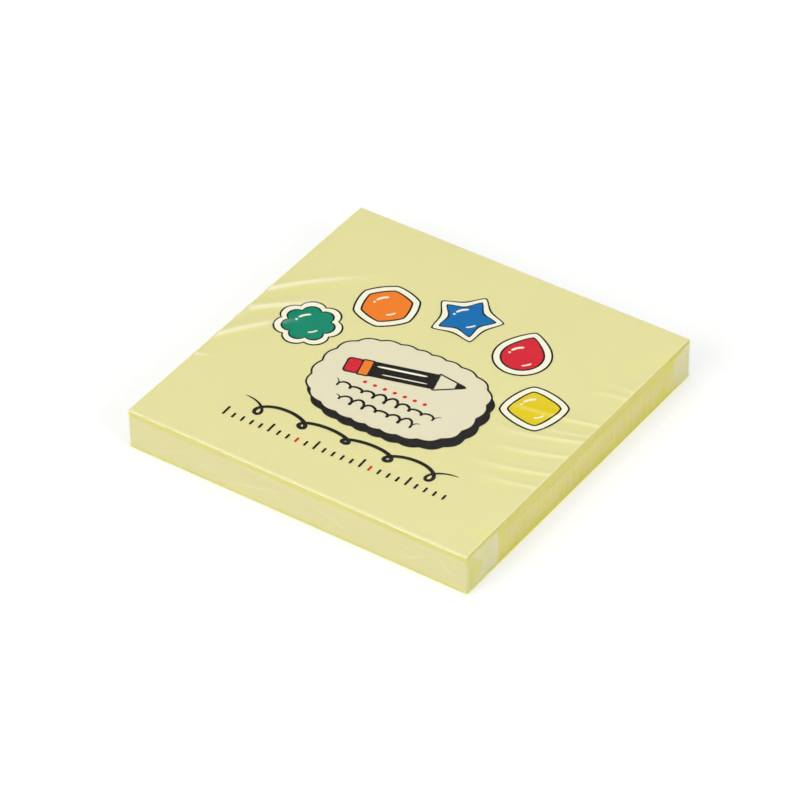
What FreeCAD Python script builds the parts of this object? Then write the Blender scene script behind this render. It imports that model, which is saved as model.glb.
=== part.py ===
import FreeCAD, Part
import math
import os

# Square pad of sticky notes sealed in a clear film overwrap, lying flat.
# Sizes are in millimetres. The origin is the centre of the base, where the
# film's bottom face lies. +X runs to the reader's right, +Y to the glued
# edge of the notes, and +Z up.

# The notes: one cut block, glued together along the +Y edge
note_width = 76.0
note_depth = 76.0
note_count = 100
note_caliper = 0.086

# The release sheet under the last note, which keeps its glue covered
release_caliper = 0.12

# The film: one sheet wrapped round as a tube along X, lapped underneath,
# with both ends folded in and sealed
film_thickness = 0.03
side_slack = 0.30
top_slack = 0.14
lap_width = 12.0

# The folded ends. The sides are tucked in first, then the bottom flap comes
# up, and the top flap comes down over it. Each length is measured from the
# edge of the pack that the film is folded over.
tuck_length = 10.0
tuck_corner_radius = 1.2
bottom_flap_length = 6.7
top_flap_length = 8.3
top_flap_inset = 1.2
slack_bulge = 0.95
fold_land = 0.25
flap_step = 0.06

# Wrinkles that the end folds pull into the film's top. Each starts at a side
# edge and runs inwards. The columns are its distance along the edge from the
# middle of the side (towards +Y), its length, the angle by which it leans
# towards +Y, and its height.
right_wrinkles = [
    (18.0, 6.5, -5.0, 0.07),
    (15.5, 8.0, -14.0, 0.08),
    (6.0, 19.5, -9.0, 0.12),
    (0.5, 14.0, -18.0, 0.12),
    (-4.5, 13.0, -17.0, 0.12),
    (-10.5, 13.0, -15.0, 0.10),
    (-15.0, 9.5, -12.0, 0.08),
]
left_wrinkles = [
    (7.0, 14.0, 50.0, 0.10),
    (0.5, 11.0, 40.0, 0.12),
    (-10.0, 14.0, 52.0, 0.12),
    (-17.0, 4.0, 37.0, 0.06),
]
wrinkle_half_width = 1.0
wrinkle_edge_gap = 0.15
crease_share = 0.4

# Heights of the layers, from the base up
lap_top = 2 * film_thickness
release_top = lap_top + release_caliper
notes_top = release_top + note_count * note_caliper
cavity_top = notes_top + top_slack
wrap_height = cavity_top + film_thickness

# Half widths of the hollow inside the film, and of its outside
cavity_half_width = note_width / 2 + side_slack
cavity_half_depth = note_depth / 2 + side_slack
wrap_half_width = cavity_half_width + film_thickness
wrap_half_depth = cavity_half_depth + film_thickness

# The film bends over an edge with the slack as its inner radius, which just
# clears the sharp edges of the notes
fold_radius = side_slack + film_thickness


def centred_block(half_width, half_depth, z_low, z_high):
    """Block centred on the Z axis, between two heights."""
    corner = FreeCAD.Vector(-half_width, -half_depth, z_low)
    return Part.makeBox(2 * half_width, 2 * half_depth, z_high - z_low, corner)


def rounded_block(half_width, half_depth, z_low, z_high, radius):
    """Centred block with every edge rounded."""
    block = centred_block(half_width, half_depth, z_low, z_high)
    return block.makeFillet(radius, block.Edges)


def notes():
    """The block of notes, as one solid."""
    return centred_block(note_width / 2, note_depth / 2, release_top, notes_top)


def release_sheet():
    """The thin sheet between the last note and the film."""
    return centred_block(note_width / 2, note_depth / 2, lap_top, release_top)


def point_on_end(inset, height):
    """Point in the YZ plane, at an inset from the front edge of the end."""
    return FreeCAD.Vector(0, inset - wrap_half_depth, height)


def mirrored_front_to_back(edges):
    """The same edges at the back of the end, on the other side of the XZ plane."""
    middle = FreeCAD.Vector(0, 0, 0)
    return [edge.mirror(middle, FreeCAD.Vector(0, 1, 0)) for edge in edges]


def plate_on_end(front_edges, x_low, x_high):
    """Flat layer of film on the +X end, from the edges at its front side.

    The back side is the mirror image, and two straight edges join them.
    """
    first = front_edges[0].Vertexes[0].Point
    last = front_edges[-1].Vertexes[-1].Point
    opposite_first = FreeCAD.Vector(first.x, -first.y, first.z)
    opposite_last = FreeCAD.Vector(last.x, -last.y, last.z)
    joining_edges = [
        Part.makeLine(first, opposite_first),
        Part.makeLine(last, opposite_last),
    ]
    outline = front_edges + mirrored_front_to_back(front_edges) + joining_edges
    face = Part.Face(Part.Wire(Part.__sortEdges__(outline)))
    face.translate(FreeCAD.Vector(x_low, 0, 0))
    return face.extrude(FreeCAD.Vector(x_high - x_low, 0, 0))


def bottom_flap():
    """Flap that comes up the end, up to its free edge.

    Its side is a slack curve from the corner up to where it meets the top
    flap's side, and from there a fold at 45 degrees.
    """
    corner = point_on_end(fold_radius, fold_radius)
    meeting_height = (wrap_height + top_flap_inset) / 2
    meeting = point_on_end(meeting_height, meeting_height)
    free_corner = point_on_end(bottom_flap_length, bottom_flap_length)
    middle = (corner + meeting) * 0.5
    outward = FreeCAD.Vector(0, 1, -1).normalize() * slack_bulge
    slack_edge = Part.Arc(corner, middle + outward, meeting).toShape()
    fold_edge = Part.makeLine(meeting, free_corner)
    x_low = wrap_half_width
    return plate_on_end([slack_edge, fold_edge], x_low, x_low + film_thickness)


def slice_of(plate, x_low, x_high, z_low, z_high):
    """The part of an end plate between two planes each way."""
    corner = FreeCAD.Vector(x_low, -wrap_half_depth, z_low)
    window = Part.makeBox(x_high - x_low, 2 * wrap_half_depth, z_high - z_low, corner)
    return plate.common(window)


def top_flap():
    """Flap that comes down over the bottom one, with its sides at 45 degrees.

    It lies on the end wall above the bottom flap's free edge, and one layer
    further out below it.
    """
    corner = point_on_end(fold_radius + top_flap_inset, wrap_height - fold_radius)
    free_corner = point_on_end(
        top_flap_length + top_flap_inset, wrap_height - top_flap_length
    )
    x_low = wrap_half_width
    x_middle = x_low + film_thickness
    x_high = x_middle + film_thickness
    plate = plate_on_end([Part.makeLine(corner, free_corner)], x_low, x_high)
    step_low = bottom_flap_length + flap_step
    step_high = step_low + film_thickness
    upper = slice_of(plate, x_low, x_middle, step_low, wrap_height)
    lower = slice_of(plate, x_middle, x_high, 0, step_high)
    return upper.fuse(lower)


def end_opening():
    """Space between the two tucked sides of an end, which only flaps close.

    Its upper corners are rounded, where the tucks' free edges meet the top fold.
    """
    half_opening = wrap_half_depth - tuck_length
    z_low = fold_radius + fold_land
    z_high = wrap_height - fold_radius - fold_land
    x_low = cavity_half_width - film_thickness / 2
    x_high = wrap_half_width + film_thickness / 2
    corner = FreeCAD.Vector(x_low, -half_opening, z_low)
    opening = Part.makeBox(x_high - x_low, 2 * half_opening, z_high - z_low, corner)
    upper_corners = [
        edge
        for edge in opening.Edges
        if edge.BoundBox.XLength > film_thickness and edge.CenterOfMass.z > wrap_height / 2
    ]
    return opening.makeFillet(tuck_corner_radius, upper_corners)


def flat_sided_solid(faces):
    """Solid closed by flat faces, each given as a loop of points."""
    sides = [Part.Face(Part.makePolygon(points + points[:1])) for points in faces]
    return Part.Solid(Part.Shell(sides))


def wrinkle_ridge(wrinkle, side, level):
    """One wrinkle as a low ridge that stands on a level plane.

    A level crease runs along its middle, and both ends taper to a point.
    """
    start_along_edge, length, lean, height = wrinkle
    half_length = length / 2
    half_crease = length * crease_share / 2
    low_tip = FreeCAD.Vector(-half_length, 0, level)
    high_tip = FreeCAD.Vector(half_length, 0, level)
    low_crest = FreeCAD.Vector(-half_crease, 0, level + height)
    high_crest = FreeCAD.Vector(half_crease, 0, level + height)
    low_left = FreeCAD.Vector(-half_crease, wrinkle_half_width, level)
    high_left = FreeCAD.Vector(half_crease, wrinkle_half_width, level)
    low_right = FreeCAD.Vector(-half_crease, -wrinkle_half_width, level)
    high_right = FreeCAD.Vector(half_crease, -wrinkle_half_width, level)
    ridge = flat_sided_solid([
        [low_left, high_left, high_crest, low_crest],
        [low_right, low_crest, high_crest, high_right],
        [low_tip, low_left, low_crest],
        [low_tip, low_crest, low_right],
        [high_tip, high_crest, high_left],
        [high_tip, high_right, high_crest],
        [low_tip, low_right, high_right, high_tip, high_left, low_left],
    ])

    # The outer tip lies just inside the rounded edge of the pack
    tip_x = wrap_half_width - fold_radius - wrinkle_edge_gap
    inwards = math.radians(lean)
    ridge.rotate(FreeCAD.Vector(0, 0, 0), FreeCAD.Vector(0, 0, 1), -side * lean)
    ridge.translate(FreeCAD.Vector(
        side * (tip_x - half_length * math.cos(inwards)),
        start_along_edge + half_length * math.sin(inwards),
        0,
    ))
    return ridge


def wrinkle_ridges(level):
    """Every wrinkle of the top, standing on one surface of the film."""
    right = [wrinkle_ridge(wrinkle, 1, level) for wrinkle in right_wrinkles]
    left = [wrinkle_ridge(wrinkle, -1, level) for wrinkle in left_wrinkles]
    return right + left


def mirrored_end(shape):
    """The same shape at the -X end."""
    return shape.mirror(FreeCAD.Vector(0, 0, 0), FreeCAD.Vector(1, 0, 0))


def film_wrap():
    """The whole overwrap as one folded piece of film, with its real hollow."""
    outside = rounded_block(wrap_half_width, wrap_half_depth, 0, wrap_height, fold_radius)
    hollow = rounded_block(
        cavity_half_width, cavity_half_depth, film_thickness, cavity_top, side_slack
    )
    outside = outside.multiFuse(wrinkle_ridges(wrap_height))
    hollow = hollow.multiFuse(wrinkle_ridges(cavity_top))
    lap = centred_block(note_width / 2, lap_width / 2, 0, lap_top)
    right_opening = end_opening()
    right_flaps = bottom_flap().fuse(top_flap())
    film = outside.cut(hollow)
    film = film.cut(right_opening.fuse(mirrored_end(right_opening)))
    film = film.multiFuse([lap, right_flaps, mirrored_end(right_flaps)])
    return film.removeSplitter()


def export(shape, node_name):
    """Writes one sub-part and prints what it holds."""
    shape.exportStep(os.path.join("parts", node_name + ".step"))
    box = shape.BoundBox
    print(
        node_name,
        "solids", len(shape.Solids),
        "valid", shape.isValid(),
        "volume", round(shape.Volume, 3),
        "size", [round(x, 3) for x in (box.XLength, box.YLength, box.ZLength)],
        "base", round(box.ZMin, 4),
    )


os.makedirs("parts", exist_ok=True)
export(notes(), "note_block")
export(release_sheet(), "release_sheet")
export(film_wrap(), "film_overwrap")
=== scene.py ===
import bpy
import bmesh
import numpy as np
from mathutils import Matrix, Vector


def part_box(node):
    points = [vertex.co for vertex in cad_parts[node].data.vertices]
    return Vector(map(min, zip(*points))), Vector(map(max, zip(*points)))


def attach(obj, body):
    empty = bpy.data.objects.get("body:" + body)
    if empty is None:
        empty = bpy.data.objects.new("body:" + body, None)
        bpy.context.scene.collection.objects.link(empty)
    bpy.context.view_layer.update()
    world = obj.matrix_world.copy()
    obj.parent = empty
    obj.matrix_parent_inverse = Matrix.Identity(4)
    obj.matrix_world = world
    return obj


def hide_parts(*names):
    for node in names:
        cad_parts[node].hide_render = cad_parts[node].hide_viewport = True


# A square pad of sticky notes, sealed in a clear film with a printed top, lying flat.
# Lengths below are in millimetres and angles in degrees. +X is the reader's right, +Y the glued edge.

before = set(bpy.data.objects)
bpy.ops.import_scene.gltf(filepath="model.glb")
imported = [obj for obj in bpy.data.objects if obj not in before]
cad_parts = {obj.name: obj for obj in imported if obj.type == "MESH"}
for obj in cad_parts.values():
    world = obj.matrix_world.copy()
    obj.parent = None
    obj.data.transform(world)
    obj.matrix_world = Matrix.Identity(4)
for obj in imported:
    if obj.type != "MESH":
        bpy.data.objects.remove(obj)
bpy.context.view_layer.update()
mm = 0.001  # one millimetre in metres
noteHigh = np.array(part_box("note_block")[1]) / mm  # the notes' highest corner
print("frame loaded:", sorted(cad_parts))


# Grids, meshes and nodes

meshing = {
    "merge": 0.0004,           # points nearer than this become one
    "level": 0.001,            # a film's faces lower than this, on its underside, become one
    "sharpAngle": 50,          # edges sharper than this aren't shaded smooth
    "contactLimits": (-4, 2),
}


def gridQuads(rows, columns, ring=False):
    # Quads of a grid of points, row after row; a ring also joins its last column to its first
    row, column = np.meshgrid(np.arange(rows - 1), np.arange(columns - 1 + ring), indexing="ij")
    here, beside = row * columns + column, row * columns + (column + 1) % columns
    return np.stack([here, beside, beside + columns, here + columns], -1).reshape(-1, 4)


def joinedMesh(name, grids, oneUnderside):
    # One mesh from several (points in mm, quads); doubles are merged, then faces turned outwards
    starts = np.cumsum([0] + [len(points.reshape(-1, 3)) for points, quads in grids])
    points = np.concatenate([points.reshape(-1, 3) for points, quads in grids])
    quads = np.concatenate([quads + start for (_, quads), start in zip(grids, starts)])
    mesh = bpy.data.meshes.new(name)
    mesh.from_pydata((points * mm).tolist(), [], quads.tolist())
    work = bmesh.new()
    work.from_mesh(mesh)
    bmesh.ops.remove_doubles(work, verts=work.verts, dist=meshing["merge"] * mm)
    if oneUnderside:
        limit = meshing["level"] * mm
        level = [face for face in work.faces if max(corner.co.z for corner in face.verts) < limit]
        bmesh.ops.dissolve_faces(work, faces=level)
    bmesh.ops.recalc_face_normals(work, faces=work.faces)
    work.to_mesh(mesh)
    work.free()
    return mesh


def addWall(piece, thickness):
    # A wall grows inwards from the surface, and is kept as plain mesh
    shell = piece.modifiers.new("wall", "SOLIDIFY")
    shell.thickness, shell.offset = thickness * mm, -1
    bpy.context.view_layer.update()
    ready = piece.evaluated_get(bpy.context.evaluated_depsgraph_get())
    piece.data = bpy.data.meshes.new_from_object(ready)
    piece.modifiers.clear()


def addPiece(name, grids, material, smooth=True, wall=0.0, contactAndPaintedShade=None):
    # A piece that rides on the pad. Its contact attribute, a function of x, y and z, holds clinging and
    # painted shade: 1 where a film clings to what is under it, up to 2 where painted shade deepens an edge
    # band, and below 0 where a fold or a stretched edge makes it shine more.
    piece = bpy.data.objects.new(name, joinedMesh(name, grids, oneUnderside=wall > 0))
    bpy.context.collection.objects.link(piece)
    if wall:
        addWall(piece, wall)
    mesh = piece.data
    if contactAndPaintedShade:
        places = np.empty(3 * len(mesh.vertices))
        mesh.vertices.foreach_get("co", places)
        clingsAndShade = np.clip(contactAndPaintedShade(*places.reshape(-1, 3).T / mm), *meshing["contactLimits"])
        mesh.attributes.new("contactAndPaintedShade", "FLOAT", "POINT").data.foreach_set("value", clingsAndShade)
    mesh.polygons.foreach_set("use_smooth", np.full(len(mesh.polygons), smooth))
    if smooth:
        mesh.set_sharp_from_angle(angle=np.radians(meshing["sharpAngle"]))
    mesh.materials.clear()
    mesh.materials.append(material)
    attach(piece, "root")
    return piece


def flatPlate(outline, z, thickness):
    # Closed flat plate: rings grow from its middle to the outline on top, and shrink back to it below
    share, lift = np.array([[0, 0.5, 1, 1, 0.5, 0], [1, 1, 1, 0, 0, 0]])
    middle = outline.mean(0)
    places = middle + share[:, None, None] * (outline - middle)
    heights = np.broadcast_to(z + thickness * lift[:, None, None], (*places.shape[:2], 1))
    return np.concatenate([places, heights], -1), gridQuads(len(share), len(outline), ring=True)


def barOutline(halfLength, halfWidth, corner, points=48):
    # Rounded rectangle: a circle of the corner radius, its four quarters pulled apart. It is turned
    # a little, so that no point lies on an axis, between two quarters.
    angle = np.linspace(0, 2 * np.pi, points, endpoint=False) + 0.02
    circle = np.stack([np.cos(angle), np.sin(angle)], -1)
    return np.sign(circle) * (np.array([halfLength, halfWidth]) - corner) + corner * circle


def linearColour(hexText, alpha=1.0):
    # sRGB to linear: c / 12.92 when dark, otherwise ((c + 0.055) / 1.055) to the power 2.4
    srgb = np.array([int(hexText[i:i + 2], 16) for i in (1, 3, 5)]) / 255
    return (*np.where(srgb <= 0.04045, srgb / 12.92, ((srgb + 0.055) / 1.055) ** 2.4), alpha)


def addNode(tree, kind, inputs={}, **settings):
    # A shader node with its own settings, and inputs given as values or as sockets to link from
    node = tree.nodes.new("ShaderNode" + kind)
    for name, value in settings.items():
        setattr(node, name, value)
    for name, value in inputs.items():
        if isinstance(value, bpy.types.NodeSocket):
            tree.links.new(value, node.inputs[name])
        else:
            node.inputs[name].default_value = value
    return node


def newMaterial(name):
    # An empty material, and the tree that its nodes go into
    material = bpy.data.materials.new(name)
    material.use_nodes = True
    material.node_tree.nodes.clear()
    return material, material.node_tree


# Camera, floor and light

view = {
    "turn": 34.994,         # to the right of the pad's front
    "height": 38.941,
    "roll": -0.864,
    "distance": 900.6,
    "aim": (0, 0, 5.04),
    "aside": (2.21, 1.87),  # how far the picture's middle lies from the aim, right and up
    "lens": 214.6,
    "sensor": 36,
    "clip": (50, 20000),
}


def lookAxes(turn, height):
    # Directions of something that looks at the pad from there: to its right, upwards, and backwards
    a, e = np.radians([turn, height])
    back = np.array([np.sin(a) * np.cos(e), -np.cos(a) * np.cos(e), np.sin(e)])
    right = np.array([np.cos(a), np.sin(a), 0])
    return right, np.cross(back, right), back


def putInScene(thing, right, up, back, place):
    # Its matrix has the three directions and the place as columns
    columns = np.column_stack([right, up, back, place * mm])
    thing.matrix_world = Matrix(np.vstack([columns, [0, 0, 0, 1]]))
    bpy.context.collection.objects.link(thing)


def addCamera():
    # Stands back from the aim and aside of it; right and up are turned about the sight by the roll
    level, rise, back = lookAxes(view["turn"], view["height"])
    roll = np.radians(view["roll"])
    right = level * np.cos(roll) + rise * np.sin(roll)
    up = rise * np.cos(roll) - level * np.sin(roll)
    place = view["aim"] + back * view["distance"] - right * view["aside"][0] - up * view["aside"][1]
    data = bpy.data.cameras.new("camera")
    data.lens, data.sensor_width = view["lens"], view["sensor"]
    data.clip_start, data.clip_end = np.array(view["clip"]) * mm
    camera = bpy.data.objects.new("camera", data)
    putInScene(camera, right, up, back, place)
    bpy.context.scene.camera = camera


studio = {
    "wallLow": 0.06,       # a dim room, so that the level film mirrors little and stays clear
    "ceiling": 1.36,       # light from straight above
    "ceilingStart": 0.62,  # sine of the height where the room starts to grow brighter
    # Each softbox: name, direction it stands in (turn, height), distance, width, depth, watts
    "softboxes": [
        ("backBox", 226, 66, 1600, 1500, 1200, 5.3),
        ("frontBox", 343, 34, 3200, 2200, 1600, 56.0),
        ("rightBox", 80, 32, 1600, 720, 720, 9.0),
    ],
    "floorColour": "#FBFBFA",
    "floorHalf": 1500,
    "floorGap": 0.02,      # how far the floor lies under the pad
    "floorGlow": 0.5,      # share of plain white that the floor shows to the eye, which softens the shadow
}


def addRoom():
    # The light from a direction grows with its height, from the walls to straight above
    world = bpy.data.worlds.new("studio")
    world.use_nodes = True
    tree = world.node_tree
    tree.nodes.clear()
    way = addNode(tree, "SeparateXYZ", {"Vector": addNode(tree, "TexCoord").outputs["Generated"]})
    sky = addNode(tree, "MapRange", {
        "Value": way.outputs["Z"], "From Min": studio["ceilingStart"], "From Max": 1.0,
        "To Min": studio["wallLow"], "To Max": studio["ceiling"],
    })
    light = addNode(tree, "Background", {"Color": (1, 1, 1, 1), "Strength": sky.outputs["Result"]})
    addNode(tree, "OutputWorld", {"Surface": light.outputs["Background"]})
    bpy.context.scene.world = world


def addSoftbox(name, turn, height, distance, width, depth, watts):
    # A rectangle of light that faces the pad's place
    data = bpy.data.lights.new(name, "AREA")
    data.shape, data.size, data.size_y, data.energy = "RECTANGLE", width * mm, depth * mm, watts
    right, up, back = lookAxes(turn, height)
    putInScene(bpy.data.objects.new(name, data), right, up, back, back * distance)


def paperSweep():
    # Matt white background paper. To the eye, mirrored or straight, it glows white by a share.
    material, tree = newMaterial("paperSweep")
    matt = addNode(tree, "BsdfDiffuse", {"Color": linearColour(studio["floorColour"])})
    white = addNode(tree, "Emission", {"Color": (1, 1, 1, 1), "Strength": 1.0})
    ray = addNode(tree, "LightPath").outputs
    seen = ray["Is Camera Ray"]
    for kind in ("Is Glossy Ray", "Is Transmission Ray"):
        seen = addNode(tree, "Math", {0: seen, 1: ray[kind]}, operation="MAXIMUM").outputs[0]
    glow = addNode(tree, "Math", {0: seen, 1: studio["floorGlow"]}, operation="MULTIPLY")
    look = addNode(tree, "MixShader", {
        0: glow.outputs[0], 1: matt.outputs["BSDF"], 2: white.outputs["Emission"],
    })
    addNode(tree, "OutputMaterial", {"Surface": look.outputs["Shader"]})
    return material


def addFloor():
    # One level square under the pad
    half, level = studio["floorHalf"] * mm, -studio["floorGap"] * mm
    corners = [(x * half, y * half, level) for x, y in ((-1, -1), (1, -1), (1, 1), (-1, 1))]
    mesh = bpy.data.meshes.new("floor")
    mesh.from_pydata(corners, [], [(0, 1, 2, 3)])
    mesh.materials.append(paperSweep())
    floor = bpy.data.objects.new("floor", mesh)
    bpy.context.collection.objects.link(floor)


addCamera()
addRoom()
for row in studio["softboxes"]:
    addSoftbox(*row)
addFloor()
bpy.context.scene.view_settings.view_transform = "Standard"
bpy.context.scene.cycles.transparent_max_bounces = 32  # sight passes many layers of film at the ends
print("camera and studio ready")


# The notes and their release sheet

notePaper = {
    "colour": "#E6E1A2",
    "shade": "#DAD592",      # fibre clumps
    "cutColour": "#E5DEA3",  # light sinks in between the sheet edges, so the dye looks deeper there
    "cutPaintedGapShade": "#D5CE8C",   # painted shade of the gaps between sheet edges
    "fibre": 0.35,           # real fibres are finer, and this is as coarse as they need to show
    "cloud": 14.0,
    "sheetGroup": 0.344,     # lines on the cut sides, drawn one for every four sheets so that they show
    "roughness": 0.88,
}
releasePaper = {
    "colour": "#EFEFE8",
    "shade": "#E4E4DA",
    "cutColour": "#ECECE2",
    # painted shade of the gaps between the release sheet's cut edges
    "cutPaintedGapShade": "#DDDDD0",
    "fibre": 0.5,
    "cloud": 20.0,
    "sheetGroup": 0.12,
    "roughness": 0.55,
}


def uncoatedPaper(name, look):
    # Uncoated paper is matt and faintly clouded on its face, with fine level lines on its cut sides.
    # On the face, fibre and cloud noise mix the two colours; where the surface is upright, noise that is
    # stretched level mixes the two cut colours, the darker one painted shade in the gaps between sheets.
    material, tree = newMaterial(name)
    place = addNode(tree, "TexCoord").outputs["Object"]
    clouds = addNode(tree, "TexNoise", {
        "Vector": place, "Scale": 1 / (look["cloud"] * mm), "Detail": 3.0,
    })
    fibres = addNode(tree, "TexNoise", {
        "Vector": place, "Scale": 1 / (look["fibre"] * mm), "Detail": 4.0,
    })
    group = look["sheetGroup"] * mm
    stretched = 0.02 / group  # a line is fifty times as long as it is high
    lineSpace = addNode(tree, "Mapping", {"Vector": place, "Scale": (stretched, stretched, 1 / group)})
    sheets = addNode(tree, "TexNoise", {
        "Vector": lineSpace.outputs["Vector"], "Scale": 1.0, "Detail": 2.0,
    })
    facing = addNode(tree, "SeparateXYZ", {"Vector": addNode(tree, "NewGeometry").outputs["Normal"]})
    flat = addNode(tree, "Math", {0: facing.outputs["Z"]}, operation="ABSOLUTE")
    edge = addNode(tree, "MapRange", {
        "Value": flat.outputs[0], "From Min": 0.3, "From Max": 0.7, "To Min": 1.0, "To Max": 0.0,
    })
    lines = addNode(tree, "Math", {
        0: sheets.outputs["Fac"], 1: edge.outputs["Result"],
    }, operation="MULTIPLY")
    mottle = addNode(tree, "Math", {
        0: fibres.outputs["Fac"], 1: clouds.outputs["Fac"],
    }, operation="ADD")
    mottled = addNode(tree, "MapRange", {
        "Value": mottle.outputs[0], "From Min": 0.6, "From Max": 1.4, "To Min": 0.0, "To Max": 0.35,
    })
    face = addNode(tree, "Mix", {
        "Factor": mottled.outputs["Result"],
        6: linearColour(look["colour"]), 7: linearColour(look["shade"]),
    }, data_type="RGBA")
    # painted shade: the cut sides darken along the gap lines
    cut = addNode(tree, "Mix", {
        "Factor": lines.outputs[0],
        6: linearColour(look["cutColour"]), 7: linearColour(look["cutPaintedGapShade"]),
    }, data_type="RGBA")
    colour = addNode(tree, "Mix", {
        "Factor": edge.outputs["Result"], 6: face.outputs[2], 7: cut.outputs[2],
    }, data_type="RGBA")
    relief = addNode(tree, "Math", {
        0: lines.outputs[0], 1: 2.0, 2: fibres.outputs["Fac"],
    }, operation="MULTIPLY_ADD")
    bump = addNode(tree, "Bump", {
        "Height": relief.outputs[0], "Strength": 0.25, "Distance": 0.03 * mm,
    })
    paper = addNode(tree, "BsdfPrincipled", {
        "Base Color": colour.outputs[2], "Roughness": look["roughness"],
        "Specular IOR Level": 0.3, "Normal": bump.outputs["Normal"],
    })
    addNode(tree, "OutputMaterial", {"Surface": paper.outputs["BSDF"]})
    return material


for node, material in (
    ("note_block", uncoatedPaper("yellowNotePaper", notePaper)),
    ("release_sheet", uncoatedPaper("siliconeReleasePaper", releasePaper)),
):
    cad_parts[node].material_slots[0].material = material
print("paper ready")


# The film

film = {
    "thickness": 0.03,
    "sideSlack": 0.30,          # between the notes' sides and the film
    "topSlack": 0.14,
    "edgeRadius": 0.56,         # how tightly it bends over the notes' top edges
    "lowEdgeRadius": 0.42,      # and round the release sheet's edges, where it is pulled tighter
    "endLand": 0.6,             # how far the wrapped film reaches in from each edge of an end
    # Spacing of the grid along x, y and z, each up to a limit: finest where wrinkles lie
    "steps": [
        [(-18, 0.55), (12, 1.4), (40, 0.55)],
        [(-20, 1.2), (24, 0.2), (40, 1.2)],
        [(10, 0.5)],
    ],
    "reflection": 0.036,        # of one face of the film, seen face on
    "sealedReflection": 0.012,  # where layers are sealed together and the air between them is gone
    "grazingGain": 20,          # how many times as much it mirrors edge on
    "roughness": 0.2,
    "haze": 6.0,
    "contactAndShadeTint": "#FEFFEC",   # where it clings to the paper, and where shade is painted, the dye shows deeper through each face
    # the same for sealed layers, painted shade included
    "sealedContactAndShadeTint": "#FFFEEE",
}
halfX = noteHigh[0] + film["sideSlack"] + film["thickness"]
halfY = noteHigh[1] + film["sideSlack"] + film["thickness"]
topZ = noteHigh[2] + film["topSlack"] + film["thickness"]

# Wrinkles of the top, from a side edge inwards. The columns are the start along the edge (towards +Y),
# length, lean towards +Y, height, how far the middle bows towards +Y, and half width.
wrinkles = {
    "right": [
        (18.8, 8.0, -5, 0.04, 0.2, 0.7),
        (16.4, 9.5, -14, 0.048, 0.4, 0.7),
        (7.0, 25.0, -8, 0.074, -0.9, 0.72),
        (3.4, 15.0, -14, 0.034, -0.6, 0.55),
        (1.4, 19.0, -17, 0.07, -0.6, 0.7),
        (-3.8, 17.0, -17, 0.072, -0.5, 0.7),
        (-9.8, 17.0, -15, 0.066, -0.5, 0.7),
        (-14.4, 13.0, -12, 0.05, -0.3, 0.7),
    ],
    "left": [
        (7.0, 24.0, 42.5, 0.14, 1.2, 1.05),
        (0.1, 18.0, 41, 0.15, 0.0, 1.05),
        (-10.2, 18.0, 50, 0.14, 0.9, 1.0),
        (-3.2, 6.0, 66, 0.10, 0.0, 0.8),
        (-17.4, 4.5, 29, 0.08, 0.0, 0.7),
    ],
    "trough": (0.3, 1.9, 1.2),  # below each wrinkle: share of its height, distance and width in half widths
}

# Slack marks of the front and back, as (x, z) start and end, half width and height
sideMarks = [
    (-33.5, 1.0, -24.5, 5.0, 0.9, 0.07),
    (-25.0, 1.0, -16.0, 5.7, 1.0, 0.08),
    (-20.0, 1.0, -2.0, 5.5, 1.1, 0.07),
    (3.0, 5.5, 14.0, 2.5, 1.4, 0.04),
    (24.0, 2.5, 30.0, 5.5, 1.6, 0.07),
    (31.5, 6.5, 35.5, 2.5, 1.2, 0.06),
]


def bell(distance, width):
    # 1 in the middle, falling with the exponential of minus the square
    return np.exp(-(distance / width) ** 2)


def softStep(distance, width):
    # From 0 to 1 across no distance: 1 / (1 + the exponential of minus the distance in widths)
    return 1 / (1 + np.exp(-distance / width))


def mark(u, v, startU, startV, endU, endV, halfWidth, height):
    # A low ridge between two points: a bell across it, and a power of a half sine along it
    length = np.hypot(endU - startU, endV - startV)
    alongU, alongV = (endU - startU) / length, (endV - startV) / length
    s = ((u - startU) * alongU + (v - startV) * alongV) / length
    t = ((v - startV) * alongU - (u - startU) * alongV) / halfWidth
    return height * np.exp(-t ** 2) * np.sin(np.pi * np.clip(s, 0, 1)) ** 0.7


def wrinkle(x, y, side, start, length, lean, height, bow, halfWidth):
    # A bell across with a shallow trough below it, which widens and fades inwards from the edge
    alongX, alongY = -side * np.cos(np.radians(lean)), np.sin(np.radians(lean))
    fromX, fromY = x - side * halfX, y - start
    s = (fromX * alongX + fromY * alongY) / length
    inside = np.clip(s, 0, 1)
    across = side * (fromX * alongY - fromY * alongX)
    t = (across - 4 * bow * inside * (1 - inside)) / (halfWidth * (0.85 + 0.5 * inside))
    fade = (1 - inside ** 3) * (s > -0.2)
    depth, away, width = wrinkles["trough"]
    return height * fade * (np.exp(-t ** 2) - depth * bell(t + away, width))


def ripple(u, v, seed, size, height, waves=6):
    # Sum of sine waves of about that size, in seeded directions
    draws = np.random.default_rng(seed).random((waves, 3))
    total = np.zeros(np.shape(u))
    for turn, stretch, start in draws:
        a, k = 2 * np.pi * turn, 2 * np.pi / (size * (0.7 + 0.9 * stretch))
        total += np.sin(k * (u * np.cos(a) + v * np.sin(a)) + 2 * np.pi * start)
    return height * total / waves ** 0.5


def topRelief(x, y):
    # How far the film stands off its level top: every wrinkle, wide low ripples, and slack ripples that
    # fade inwards from the two side edges
    rise = sum(wrinkle(x, y, 1, *row) for row in wrinkles["right"])
    rise = rise + sum(wrinkle(x, y, -1, *row) for row in wrinkles["left"])
    loose = np.exp(-(halfX - np.abs(x)) / 9)
    return rise + ripple(x * 0.35, y, 3, 5.0, 0.012) * loose + ripple(x, y, 4, 30.0, 0.005)


def sideRelief(x, z):
    # The film bellies out between top and bottom edge, with slanting slack marks on it
    belly = 0.10 * np.sin(np.pi * np.clip(z / topZ, 0, 1)) * (1 - (x / halfX) ** 8)
    return belly + sum(mark(x, z, *row) for row in sideMarks) + ripple(x, z * 1.5, 5, 9.0, 0.015)


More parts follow.
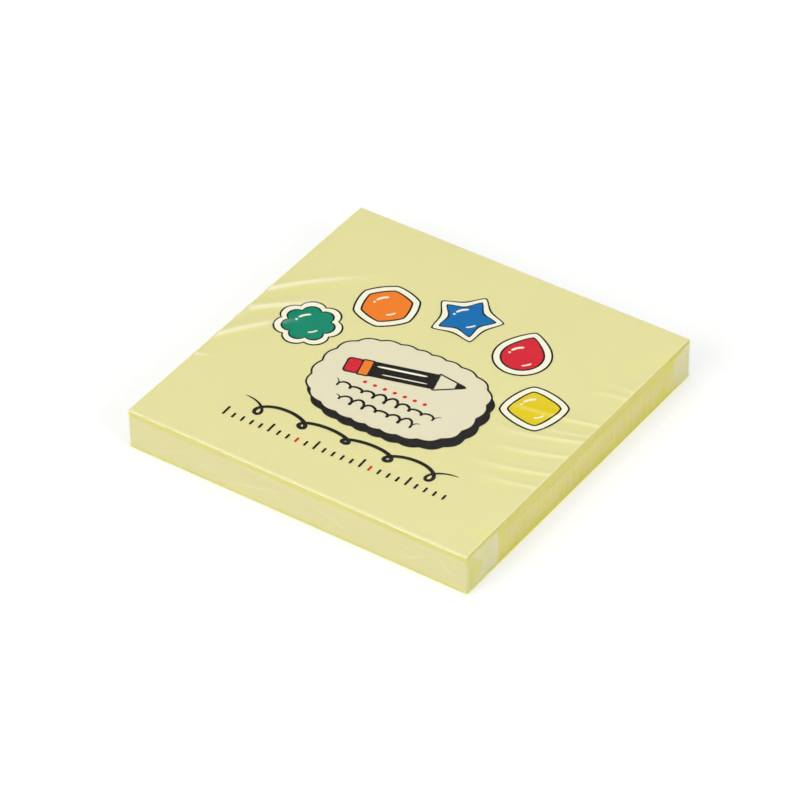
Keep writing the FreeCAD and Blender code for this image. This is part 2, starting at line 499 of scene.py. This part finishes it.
def gridLines(low, high, steps):
    # Places of a grid along one axis: even turns round the two bends, the steps between them, and the
    # edges of the lands
    radius, land = film["edgeRadius"], film["endLand"]
    bend = radius * (1 - np.tan(np.radians([45, 36, 27, 18, 9, 0])))
    inner = np.array([low + radius])
    for limit, step in steps:
        stop = min(limit, high - radius)
        count = int((stop - inner[-1]) / step) + 2
        inner = np.append(inner, np.linspace(inner[-1], stop, count)[1:])
    every = [low + bend, inner, high - bend, [low + land, high - land]]
    return np.unique(np.round(np.concatenate(every), 4))


def inOpening(places):
    # The opening of an end lies inside its lands, and is closed by its flaps
    inY = np.abs(places[:, 1]) < halfY - film["endLand"]
    inZ = np.abs(places[:, 2] - topZ / 2) < topZ / 2 - film["endLand"]
    return inY & inZ


def filmBox():
    # Rounded box: each point of a box grid is pushed out from the box that the edge radius leaves inside,
    # and then moved along its normal by the relief. The radius grows smoothly from bottom to top.
    low, high = np.array([-halfX, -halfY, 0]), np.array([halfX, halfY, topZ])
    lines = [gridLines(*limits) for limits in zip(low, high, film["steps"])]
    radius, lowRadius = film["edgeRadius"], film["lowEdgeRadius"]
    grids = []
    for axis, others in ((0, (1, 2)), (1, (0, 2)), (2, (0, 1))):
        for level in (low[axis], high[axis]):
            a, b = lines[others[0]], lines[others[1]]
            points = np.empty((len(a), len(b), 3))
            points[..., axis] = level
            points[..., others[0]], points[..., others[1]] = a[:, None], b[None, :]
            quads = gridQuads(len(a), len(b))
            if axis == 0:
                quads = quads[~inOpening(points.reshape(-1, 3)[quads].mean(1))]
            share = points[..., 2:] / topZ
            edge = lowRadius + (radius - lowRadius) * share ** 2 * (3 - 2 * share)
            core = np.clip(points, low + edge, high - edge)
            normal = points - core
            normal /= np.linalg.norm(normal, axis=-1, keepdims=True)
            x, y, z = np.moveaxis(points, -1, 0)
            rise = topRelief(x, y) * np.clip(normal[..., 2], 0, 1) ** 2
            rise = rise + sideRelief(x, z) * normal[..., 1] ** 2
            grids.append((core + normal * (edge + rise[..., None]), quads))
    return grids


wrapContactsAndShade = {
    "crests": (2.2, 0.1),   # how much the wrinkles' crests shine, on the left and on the right
    "troughs": (0.3, 1.0),  # and how much their troughs cling, with painted shade
    # Bands along the front and back: how much painted shade they hold, or below 0 how much they shine,
    # height, half width
    "bands": [
        # painted shade under the top edge, painted shade along the bottom edge, and a shining band above it
        (1.5, topZ - 0.82, 0.36),
        (1.5, 0.38, 0.42),
        (-0.8, 1.25, 0.25),
    ],
    "sides": -0.2,          # the front and back between those bands
    "beside": 0.3,          # the ends and the underside
    # painted shade along the ends' foot: how much, height, half width
    "foot": (1.3, 0.1, 0.45),
    "topBend": (-0.3, topZ - 0.12, 0.28),
}


def wrapContactAndShade(x, y, z):
    # The top clings in the troughs of its wrinkles, with painted shade there, and shines where it is
    # stretched up to a crest from the front. The front and back hold painted shade in bands under the top
    # edge and along the bottom, shine on a band above the bottom one and on their slack marks, and hold
    # painted shade under each mark. The ends cling, with painted shade most at the foot, and the bend over
    # the front and back edge shines.
    left, reach = x < 0, 0.1
    climb = (topRelief(x, y + reach) - topRelief(x, y - reach)) / (2 * reach)
    crests = np.clip((climb - 0.02) / 0.05, 0, 1) * np.where(left, *wrapContactsAndShade["crests"])
    troughs = np.clip((-topRelief(x, y) - 0.006) / 0.045, 0, 1) * np.where(left, *wrapContactsAndShade["troughs"])
    bands = sum(much * bell(z - height, width) for much, height, width in wrapContactsAndShade["bands"])
    shines = sum(mark(x, z, *row[:4], 0.3, 2.0) for row in sideMarks)
    # painted shade under each slack mark
    clingsAndShade = sum(mark(x, z + 0.65, *row[:4], 0.5, 0.55) for row in sideMarks)
    sides = wrapContactsAndShade["sides"] + bands + clingsAndShade - shines
    # the ends, with painted shade along the foot
    much, height, width = wrapContactsAndShade["foot"]
    below = wrapContactsAndShade["beside"] + much * bell(z - height, width)
    much, height, width = wrapContactsAndShade["topBend"]
    bend = much * bell(z - height, width) * bell(np.abs(y) - halfY + 0.1, 0.5)
    onTop, onSide = z > topZ - 0.12, np.abs(y) > halfY - 0.9
    return np.where(onTop, troughs - crests, np.where(onSide, sides, below)) + bend


ends = {
    "foot": 0.3,             # flaps and tucks start this far above the floor
    "tuckTop": 0.45,         # and tucks end this far below the top
    "tuckLength": 10.0,
    "backTuckLoose": 6.0,    # how far in from the corner a back tuck stands off
    "tuckCorner": 1.2,
    "tuckDepth": 0.07,       # how far tucks lie inside the wrap's end
    "bottomFlap": 6.7,
    "bottomFlapLift": 0.006,  # how far flaps lie outside it
    "topFlap": 8.3,
    "topFlapLift": 0.045,
    "topFlapTop": 0.38,      # the top flap starts this far below the top
    "topFlapInset": 1.2,
    "lapGap": 0.015,         # air between the two flaps
    "slack": 1.35,           # how far the bottom flap's side curves in beside the corner
    "rimHeight": 0.09,       # the rounded fold along a flap's side
    "rimWidth": 0.30,
}


def topFlapInset(z):
    # How far in its side lies at a height, at 45 degrees
    return topZ - z + ends["topFlapInset"]


def bottomFlapInset(z):
    # 45 degrees, and a slack curve beside the corner, which ends where it meets the top flap's side
    meet = (topZ + ends["topFlapInset"]) / 2
    return z + ends["slack"] * np.sin(np.pi * np.clip(z / meet, 0, 1))


def endPlate(side, heights, inset, stand, columns):
    # A flap of an end: at each height it reaches from side to side less the inset there.
    # stand(y, z, fromSide) is how far it stands off the pad's middle.
    s = np.linspace(-1, 1, columns)
    reach = (halfY - inset(heights))[:, None]
    y, z = s * reach, np.repeat(heights[:, None], columns, axis=1)
    x = side * stand(y, z, (1 - np.abs(s)) * reach)
    return np.stack([x, y, z], -1), gridQuads(len(heights), columns)


def rim(distance):
    # A rounded fold along an edge: falls to nothing at the edge, swells just inside it
    d = distance / ends["rimWidth"]
    return ends["rimHeight"] * d * np.exp(1 - d) * np.clip(d * 3, 0, 1)


def topFlap(side):
    # Comes down from the top edge, its sides folded at 45 degrees, and steps out over the bottom flap.
    # Its waves grow over the first 2 mm below the top.
    over = film["thickness"] + ends["lapGap"]

    def stand(y, z, fromSide):
        lapped = over * softStep(ends["bottomFlap"] + 0.05 - z, 0.03)
        waves = ripple(y, z * 0.6, 11 + side, 7.0, 0.02) + ripple(y * 0.5, z, 14 + side, 16.0, 0.03)
        waves = np.clip(waves + 0.03, 0, 1) * np.clip((topZ - z) / 2, 0, 1)
        return halfX + ends["topFlapLift"] + lapped + waves + rim(fromSide)

    heights = np.linspace(topZ - ends["topFlap"], topZ - ends["topFlapTop"], 48)
    return endPlate(side, heights, topFlapInset, stand, 170)


def bottomFlap(side):
    # Comes up from the bottom edge, under the top flap, and is nearly flat
    def stand(y, z, fromSide):
        return halfX + ends["bottomFlapLift"] + 0.2 * rim(fromSide)

    heights = np.linspace(ends["foot"], ends["bottomFlap"], 40)
    return endPlate(side, heights, bottomFlapInset, stand, 150)


def tuckLoose(y):
    # A front tuck stands off along its whole length, a back tuck only near the corner
    return np.where(y < 0, ends["tuckLength"], ends["backTuckLoose"])


def flapContactAndShade(inset):
    # A flap clings, but stands off over the tucks, and a little below the bottom flap's free edge; painted
    # shade deepens it in a band under the top edge and along the bottom; its side folds shine, and ripples
    # make it uneven
    def contactAndPaintedShade(x, y, z):
        looseTuck = softStep(np.abs(y) - halfY + tuckLoose(y), np.where(y < 0, 0.15, 0.8))
        upper = softStep(z - ends["bottomFlap"] - 0.1, 0.12)
        air = 0.35 * np.clip(z / ends["bottomFlap"], 0, 1) * (1 - upper)
        fold = bell(halfY - inset(z) - np.abs(y) - 0.12, 0.22)
        band = 0.3 + 0.5 * np.clip((halfY - y) / 6, 0, 1) * (y > 0)
        # the bell under the top edge is painted shade
        clingsAndShade = (0.56 + 0.25 * upper - air) * (1 - looseTuck) + bell(z - topZ + 0.25, band)
        uneven = 0.16 * ripple(2.2 * y, 0.5 * z, 31, 4.0, 1.0)
        # the bell along the bottom is painted shade
        return np.minimum(clingsAndShade, 1) + 0.9 * bell(z - 0.4, 0.35) + uneven - 2.5 * fold
    return contactAndPaintedShade


def sideTuck(side, face):
    # Comes in from the front or back: its free edge is upright, with a rounded upper corner
    corner, top = ends["tuckCorner"], topZ - ends["tuckTop"]
    heights = np.linspace(ends["foot"], top, 60)
    below = np.clip(heights - (top - corner), 0, corner)
    free = halfY - ends["tuckLength"] + corner - np.sqrt(corner ** 2 - below ** 2)
    s = np.linspace(0, 1, 60)
    y = face * ((halfY - 0.33) * (1 - s[None, :]) + free[:, None] * s[None, :])
    z = np.repeat(heights[:, None], len(s), axis=1)
    slack = ripple(y, z * 0.3, 21 + 2 * side + face, 4.0, 0.03) * np.sin(np.pi * s[None, :])
    x = side * (halfX - ends["tuckDepth"] + np.clip(slack, -0.05, 0.03))
    return np.stack([x, y, z], -1), gridQuads(len(heights), len(s))


def tuckContactAndShade(x, y, z):
    # A tuck clings where no flap lies over it, which at the front is the notch between the two flaps, and
    # at the back away from the corner; a band along the top is painted shade; the front tuck's free edge
    # shines
    inset = np.where(z > (topZ + ends["topFlapInset"]) / 2, topFlapInset(z), bottomFlapInset(z))
    notch = (y < 0) * softStep(inset - halfY + np.abs(y), 0.06)
    freeEdge = (y < 0) * bell(np.abs(y) - halfY + ends["tuckLength"] - 0.4, 0.35)
    sealedBack = (y > 0) * softStep(halfY - tuckLoose(y) - np.abs(y), 0.8)
    uneven = 0.15 * ripple(1.5 * y, z, 32, 4.0, 1.0)
    # the bell along the top is painted shade
    return 0.6 * notch + 0.5 * sealedBack + bell(z - topZ + 0.45, 0.3) - freeEdge + uneven


def clearFilm(name, look, reflection, tint):
    # Oriented polypropylene film: nearly invisible face on, with a soft-edged gloss that grows at a slant.
    # Where it clings to the paper, or shade is painted on, it mirrors less and the paper's dye shows
    # deeper.
    material, tree = newMaterial(name)
    place = addNode(tree, "TexCoord").outputs["Object"]
    haze = addNode(tree, "TexNoise", {"Vector": place, "Scale": 1 / (look["haze"] * mm), "Detail": 3.0})
    bump = addNode(tree, "Bump", {"Height": haze.outputs["Fac"], "Strength": 0.15, "Distance": 0.1 * mm})
    clingsAndShade = addNode(tree, "Attribute", attribute_name="contactAndPaintedShade").outputs["Fac"]
    slant = addNode(tree, "LayerWeight", {"Blend": 0.5, "Normal": bump.outputs["Normal"]})
    steep = addNode(tree, "Math", {0: slant.outputs["Facing"], 1: 5.0}, operation="POWER")
    mirrored = addNode(tree, "Math", {
        0: steep.outputs[0], 1: reflection * look["grazingGain"], 2: reflection,
    }, operation="MULTIPLY_ADD")
    loose = addNode(tree, "MapRange", {"Value": clingsAndShade, "To Min": 1.0, "To Max": 0.25}, clamp=False)
    gloss = addNode(tree, "Math", {
        0: mirrored.outputs[0], 1: loose.outputs["Result"],
    }, operation="MULTIPLY")
    # the tint is the film's clinging and also painted shade, as the contact attribute holds both
    deeperAndShaded = addNode(tree, "Mix", {
        "Factor": clingsAndShade, 6: (1, 1, 1, 1), 7: linearColour(tint),
    }, data_type="RGBA", clamp_factor=False)
    through = addNode(tree, "Mix", {  # never above white, where contact is below 0
        "Factor": 1.0, 6: deeperAndShaded.outputs[2], 7: (1, 1, 1, 1),
    }, data_type="RGBA", blend_type="DARKEN")
    clear = addNode(tree, "BsdfTransparent", {"Color": through.outputs[2]})
    shine = addNode(tree, "BsdfAnisotropic", {
        "Color": (1, 1, 1, 1), "Roughness": look["roughness"], "Normal": bump.outputs["Normal"],
    })
    both = addNode(tree, "MixShader", {
        0: gloss.outputs[0], 1: clear.outputs["BSDF"], 2: shine.outputs["BSDF"],
    })
    addNode(tree, "OutputMaterial", {"Surface": both.outputs["Shader"]})
    return material


lap = {"halfWidth": 6.0, "corner": 0.4, "height": 0.032, "thickness": 0.026}


def lapStrip():
    # The film's two long edges overlap under the pad, where this inner one lies on the outer
    outline = barOutline(noteHigh[0], lap["halfWidth"], lap["corner"])
    return flatPlate(outline, lap["height"], lap["thickness"])


glossFilm = clearFilm("glossPolypropyleneFilm", film, film["reflection"], film["contactAndShadeTint"])
sealedFilm = clearFilm("sealedPolypropyleneFilm", film, film["sealedReflection"], film["sealedContactAndShadeTint"])
filmRows = [
    ("filmWrap", filmBox(), glossFilm, wrapContactAndShade),
    ("topFlaps", [topFlap(1), topFlap(-1)], sealedFilm, flapContactAndShade(topFlapInset)),
    ("bottomFlaps", [bottomFlap(1), bottomFlap(-1)], sealedFilm, flapContactAndShade(bottomFlapInset)),
    ("sideTucks", [sideTuck(side, face) for side in (1, -1) for face in (1, -1)], glossFilm, tuckContactAndShade),
]
filmPieces = [
    addPiece(name, grids, material, wall=film["thickness"], contactAndPaintedShade=contactAndPaintedShade)
    for name, grids, material, contactAndPaintedShade in filmRows
]
filmPieces.append(addPiece("lapStrip", [lapStrip()], sealedFilm, smooth=False))
for piece in filmPieces:
    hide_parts("film_overwrap")
triangles = [sum(face.loop_total - 2 for face in piece.data.polygons) for piece in filmPieces]
print("film ready, triangles:", triangles)


# The print, in ink on the film's underside

inkColours = {
    "white": "#F6F4DC",
    "cream": "#E6E0C1",
    "dark": "#120D05",
    "yellow": "#E5CD1E",
    "blue": "#006FB2",
    "red": "#D71E32",
    "green": "#008B6C",
    "orange": "#F08223",
}
inks = {name: [] for name in inkColours}  # the plates of each ink
inkLayers = ["glint", "colour", "line", "ground", "groundLine", "shadow"]  # from the top down
printing = {
    "turn": 2.5,          # of the whole design on the pad
    "clearOfFilm": 0.08,
    "layerGap": 0.006,    # each layer of ink lies this far under the one before
    "ink": 0.003,
    "outline": 0.38,
    "cornerGrowth": 0.2,  # how much rounder an outline's corners are than what it goes round
    "halo": 1.15,
    "pen": 0.55,
    "grain": 0.5,
}


def turned(places, degrees, centre=(0, 0)):
    # Flat points turned about the origin, then moved to a centre
    c, s = np.cos(np.radians(degrees)), np.sin(np.radians(degrees))
    return places @ np.array([[c, s], [-s, c]]) + np.array(centre)


def inkLevel(layer):
    # Height of a layer: the film's underside, less the clearance and the layers above
    underside = topZ - film["thickness"] - printing["clearOfFilm"]
    return underside - inkLayers.index(layer) * printing["layerGap"]


def addPlate(ink, outline, layer):
    # A flat plate of ink, turned with the whole design
    inks[ink].append(flatPlate(turned(outline, printing["turn"]), inkLevel(layer), printing["ink"]))


def addPenLine(ink, path, width, layer):
    # A flat bar of four corners carried along a path, its width rounding off to nothing at both ends
    path = turned(path, printing["turn"])
    along = np.gradient(path, axis=0)
    aside = np.stack([-along[:, 1], along[:, 0]], -1) / np.linalg.norm(along, axis=1)[:, None]
    half = width / 2 * np.sqrt(1 - np.abs(np.linspace(-1, 1, len(path))) ** 6)[:, None]
    left, right = path + half * aside, path - half * aside
    z = inkLevel(layer) + printing["ink"] * np.array([1, 1, 0, 0])
    heights = np.broadcast_to(z[None, :, None], (len(path), 4, 1))
    rings = np.concatenate([np.stack([left, right, right, left], 1), heights], -1)
    inks[ink].append((rings, gridQuads(len(path), 4, ring=True)))


def grown(outline, distance):
    # Each point moves out along the normal of its two neighbours' chord
    chord = np.roll(outline, -1, 0) - np.roll(outline, 1, 0)
    normal = np.stack([chord[:, 1], -chord[:, 0]], -1)
    return outline + distance * normal / np.linalg.norm(chord, axis=1)[:, None]


def roundOutline(reach, points=180):
    # Closed outline whose distance from the middle is a function of the angle
    angle = np.linspace(0, 2 * np.pi, points, endpoint=False)
    return reach(angle)[:, None] * np.stack([np.cos(angle), np.sin(angle)], -1)


def straightOutline(corners, points=24):
    # Straight sides between corners, each divided evenly
    corners = np.array(corners, float)
    share = np.linspace(0, 1, points, endpoint=False)[:, None]
    return np.concatenate([a + (b - a) * share for a, b in zip(corners, np.roll(corners, -1, 0))])


def polygonReach(sides, cap):
    # A regular polygon, its corners rounded off by a smooth minimum with a circle
    def reach(a):
        half = np.pi / sides
        flat = 1 / np.cos((a + half) % (2 * half) - half)
        return (flat ** -9.0 + cap ** -9.0) ** (-1 / 9)
    return reach


tokens = {
    "radius": 4.9,
    "arcCentre": (0.0, -7.0),
    "arcRadius": 27.0,
    # Each token: ink, shape, place on the arc, own turn
    "row": [
        ("green", "flower", 158, 10),
        ("orange", "hexagon", 124, 12),
        ("blue", "star", 90, 90),
        ("red", "drop", 56, 100),
        ("yellow", "square", 22, -14),
    ],
    # The glints, at that share of the radius: first and last angle, width
    "glintShare": 0.56,
    "glints": [(112, 168, 0.55), (176, 186, 0.5), (-62, -20, 0.4)],
}
# Distance of each shape's outline from its middle by the angle, in token radii
tokenShapes = {
    "flower": lambda a: 0.80 + 0.23 * np.abs(np.cos(3.5 * a)) ** 0.7,
    "hexagon": lambda a: 0.93 * polygonReach(6, 1.12)(a),
    "star": lambda a: 1.12 / (1 + 0.62 * np.abs(np.sin(2.5 * a)) ** 1.3),
    "drop": lambda a: 0.80 + 0.42 * np.exp(-(np.abs((a + np.pi) % (2 * np.pi) - np.pi) / 0.42) ** 1.25),
    "square": lambda a: 0.80 * polygonReach(4, 1.26)(a),
}


def drawToken(ink, shape, place, turn):
    # A coloured shape with a dark outline, a white halo, a second outline and white glints
    a = np.radians(place)
    centre = np.array(tokens["arcCentre"]) + tokens["arcRadius"] * np.array([np.cos(a), np.sin(a)])
    line, halo = printing["outline"], printing["halo"]
    for colour, layer, wider in (
        (ink, "colour", 0),
        ("dark", "line", line),
        ("white", "ground", line + halo),
        ("dark", "groundLine", 2 * line + halo),
    ):
        outline = roundOutline(lambda angle: tokens["radius"] * tokenShapes[shape](angle) + wider)
        addPlate(colour, turned(outline, turn, centre), layer)
    for first, last, width in tokens["glints"]:
        bow = np.radians(np.linspace(first, last, 24))
        path = centre + tokens["radius"] * tokens["glintShare"] * np.stack([np.cos(bow), np.sin(bow)], -1)
        addPenLine("white", path, width, "glint")


label = {
    "centre": (0.3, -5.0),
    "halfSize": (16.8, 11.8),
    "squareness": 2.8,
    "scallops": 24,
    "scallopDepth": 0.035,  # share of its size
    "shadow": (1.5, -1.7),
}


def drawLabel():
    # A wide scalloped label: a superellipse times 1 plus half waves, with a dark outline and a hard shadow
    power = label["squareness"]

    def reach(a):
        across, up = np.abs(np.cos(a) / label["halfSize"][0]), np.abs(np.sin(a) / label["halfSize"][1])
        waves = label["scallopDepth"] * np.abs(np.sin(label["scallops"] / 2 * a))
        return (across ** power + up ** power) ** (-1 / power) * (1 + waves)

    outline = roundOutline(reach, 480) + np.array(label["centre"])
    addPlate("cream", outline, "ground")
    addPlate("dark", grown(outline, printing["outline"]), "groundLine")
    addPlate("dark", grown(outline + np.array(label["shadow"]), printing["outline"]), "shadow")


pencil = {
    "place": (-0.5, 4.2),  # from the label's middle
    "tilt": 13.0,
    # Along its own x axis: half length, half width, corner radius, middle
    "barrel": (6.6, 2.3, 0.3, -0.8),
    "ferrule": (0.9, 2.1, 0.2, -8.5),
    "eraser": (1.3, 1.9, 0.7, -11.0),
    "wood": [(5.6, -2.3), (11.2, 0), (5.6, 2.3)],
    "lead": [(9.4, -0.75), (11.2, 0), (9.4, 0.75)],
    "glints": [(1.0, -6.6, 3.6, 0.55), (-1.1, -5.0, 4.2, 0.3)],  # y, first and last x, width
}


def drawPencil():
    # A stubby pencil along its own x axis, from eraser to lead
    centre = np.array(label["centre"]) + pencil["place"]
    line = printing["outline"]

    def put(ink, outline, layer):
        addPlate(ink, turned(outline, pencil["tilt"], centre), layer)

    def bar(part, wider=0.0, rounder=0.0):
        halfLength, halfWidth, corner, middle = pencil[part]
        return barOutline(halfLength + wider, halfWidth + wider, corner + rounder) + (middle, 0)

    put("dark", bar("barrel"), "colour")
    put("cream", straightOutline(pencil["wood"]), "colour")
    put("dark", grown(straightOutline(pencil["wood"]), line), "line")
    put("dark", straightOutline(pencil["lead"]), "glint")
    for part, ink in (("ferrule", "orange"), ("eraser", "red")):
        put(ink, bar(part), "colour")
        put("dark", bar(part, line, printing["cornerGrowth"]), "line")
    for y, first, last, width in pencil["glints"]:
        path = np.stack([np.linspace(first, last, 24), np.full(24, y)], -1)
        addPenLine("white", turned(path, pencil["tilt"], centre), width, "glint")


scribbles = {
    "lines": [(-12.0, 11.5, -4.0, 9), (-9.5, 9.0, -7.6, 7)],  # first and last x, y, loops
    "sway": 0.55,
    "swell": (0.75, 0.35),
}
flourish = {"from": -23.5, "to": 23.5, "y": -23.2, "loops": 5, "sway": 2.6, "swell": (1.5, 0.5), "bow": 2}


def loopingPath(s, first, last, y, loops, sway, swell):
    # A line that loops as it goes: x sways by a sine and y by a cosine
    phase = 2 * np.pi * loops * s
    return np.stack([first + (last - first) * s + sway * np.sin(phase), y + swell * np.cos(phase)], -1)


def drawPenLines():
    # Scribbles in the label, and a curled flourish under it that bows up in its middle
    s = np.linspace(0, 1, 260)
    base, wave = scribbles["swell"]
    for first, last, level, loops in scribbles["lines"]:
        swell = base + wave * np.sin(2 * np.pi * 1.7 * s + level)
        path = loopingPath(s, first, last, level, loops, scribbles["sway"], swell)
        addPenLine("dark", path + label["centre"], printing["pen"], "line")
    base, wave = flourish["swell"]
    swell = base + wave * np.cos(2 * np.pi * s)
    y = flourish["y"] + flourish["bow"] * s * (1 - s)
    path = loopingPath(s, flourish["from"], flourish["to"], y, flourish["loops"], flourish["sway"], swell)
    addPenLine("dark", path, 1.5 * printing["pen"], "line")


dots = {"count": 7, "first": (-6.6, -1.4), "step": 2.2, "radius": 0.42}


def drawDots():
    # A level row of small circles in the label, above the scribbles
    for i in range(dots["count"]):
        dot = roundOutline(lambda a: np.full(a.shape, dots["radius"]), 24)
        place = np.array(label["centre"]) + dots["first"] + (dots["step"] * i, 0)
        addPlate("red", dot + place, "line")


ruler = {
    "y": -28.2,
    "from": -24.0,
    "ticks": 25,
    "step": 2.0,
    "halfWidth": 0.24,
    "corner": 0.2,
    "short": 0.75,
    "long": 1.3,
    "redTicks": (8, 16),
}


def drawRuler():
    # A row of upright ticks, every fifth one longer
    for i in range(ruler["ticks"]):
        half = ruler["long"] if i % 5 == 0 else ruler["short"]
        place = (ruler["from"] + ruler["step"] * i, ruler["y"] + half)
        tick = barOutline(ruler["halfWidth"], half, ruler["corner"]) + place
        addPlate("red" if i in ruler["redTicks"] else "dark", tick, "line")


def printingInk(name, colour):
    # Solvent ink on film: deep and even, a little darker where the press laid it thicker. The film over it
    # has all the gloss.
    material, tree = newMaterial(name)
    place = addNode(tree, "TexCoord").outputs["Object"]
    grain = addNode(tree, "TexNoise", {
        "Vector": place, "Scale": 1 / (printing["grain"] * mm), "Detail": 3.0,
    })
    uneven = addNode(tree, "MapRange", {
        "Value": grain.outputs["Fac"], "From Min": 0.35, "From Max": 0.65, "To Min": 0.0, "To Max": 0.10,
    })
    thick = tuple(0.8 * part for part in linearColour(colour)[:3]) + (1.0,)
    shade = addNode(tree, "Mix", {
        "Factor": uneven.outputs["Result"], 6: linearColour(colour), 7: thick,
    }, data_type="RGBA")
    ink = addNode(tree, "BsdfPrincipled", {
        "Base Color": shade.outputs[2], "Roughness": 0.6, "Specular IOR Level": 0.0,
    })
    addNode(tree, "OutputMaterial", {"Surface": ink.outputs["BSDF"]})
    return material


drawLabel()
drawPencil()
drawPenLines()
drawDots()
drawRuler()
for row in tokens["row"]:
    drawToken(*row)
for name, plates in inks.items():
    ink = printingInk(name + "SolventInk", inkColours[name])
    addPiece(name + "Ink", plates, ink, smooth=False)
print("print ready:", sum(len(plates) for plates in inks.values()), "plates")
